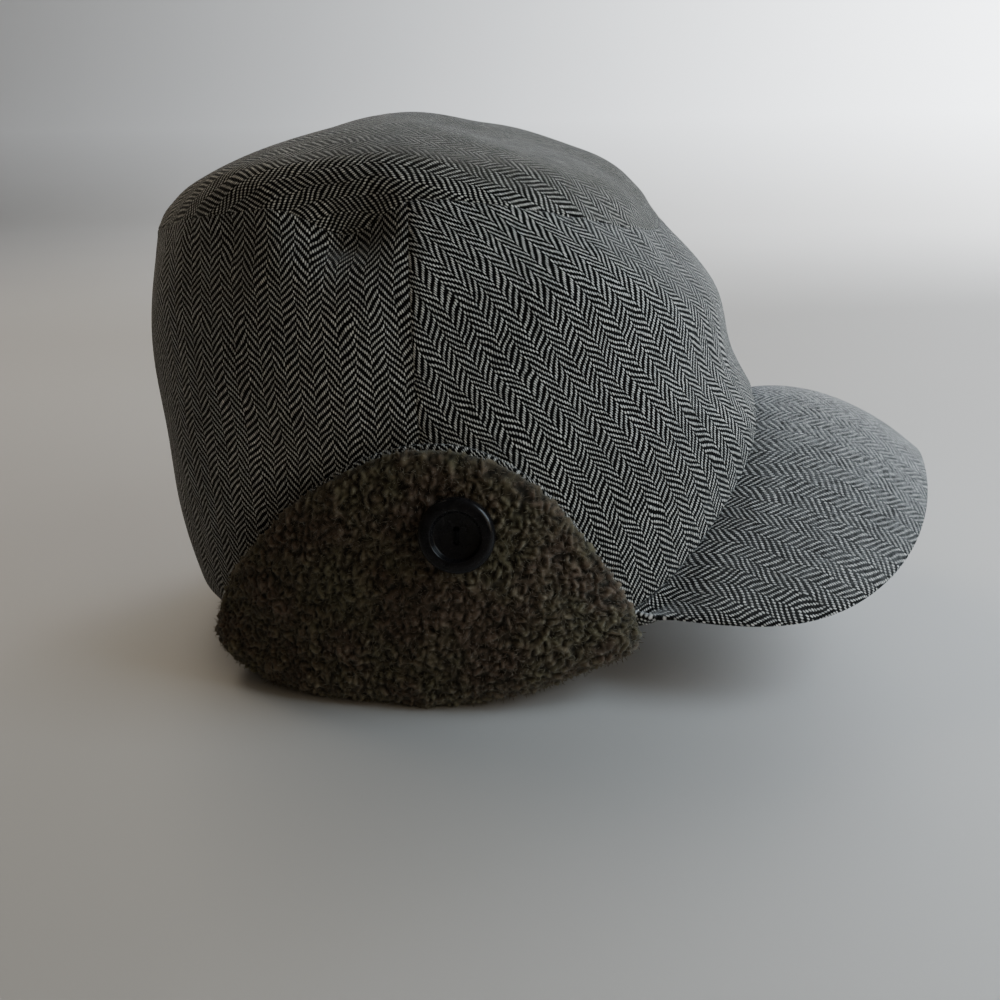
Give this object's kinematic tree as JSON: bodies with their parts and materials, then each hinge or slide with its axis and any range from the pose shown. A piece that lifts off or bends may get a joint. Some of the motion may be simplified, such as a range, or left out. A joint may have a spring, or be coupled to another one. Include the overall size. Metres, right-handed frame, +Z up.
{
  "type": "earflap cap",
  "caption": "Herringbone tweed cap with a low oval crown, a curved peak, and fleece-lined earflaps folded up and buttoned at the sides.",
  "frame": {"origin": "middle of the cap's box, on the surface that the folds of the flaps rest on", "axes": "+X towards the peak, +Y towards the wearer's left side, +Z up"},
  "size_m": [0.2756, 0.1968, 0.1807],
  "materials": {
    "tweed": "herringbone wool, off-white and near-black yarns, dull with a little fuzz",
    "fleece": "curly pile, dark olive brown with lighter flecks",
    "button": "glossy near-black with a dished middle",
    "thread": "dark sewing thread"
  },
  "bodies": {
    "root": {"crown_top": "tweed", "crown_front": "tweed", "crown_back": "tweed", "peak": "tweed", "flap_fleece_right": "fleece", "flap_cloth_right": "tweed", "buttonhole_right": "thread", "button_right": "button", "button_thread_right": "thread", "flap_fleece_left": "fleece", "flap_cloth_left": "tweed", "buttonhole_left": "thread", "button_left": "button", "button_thread_left": "thread"}
  },
  "joints": []
}
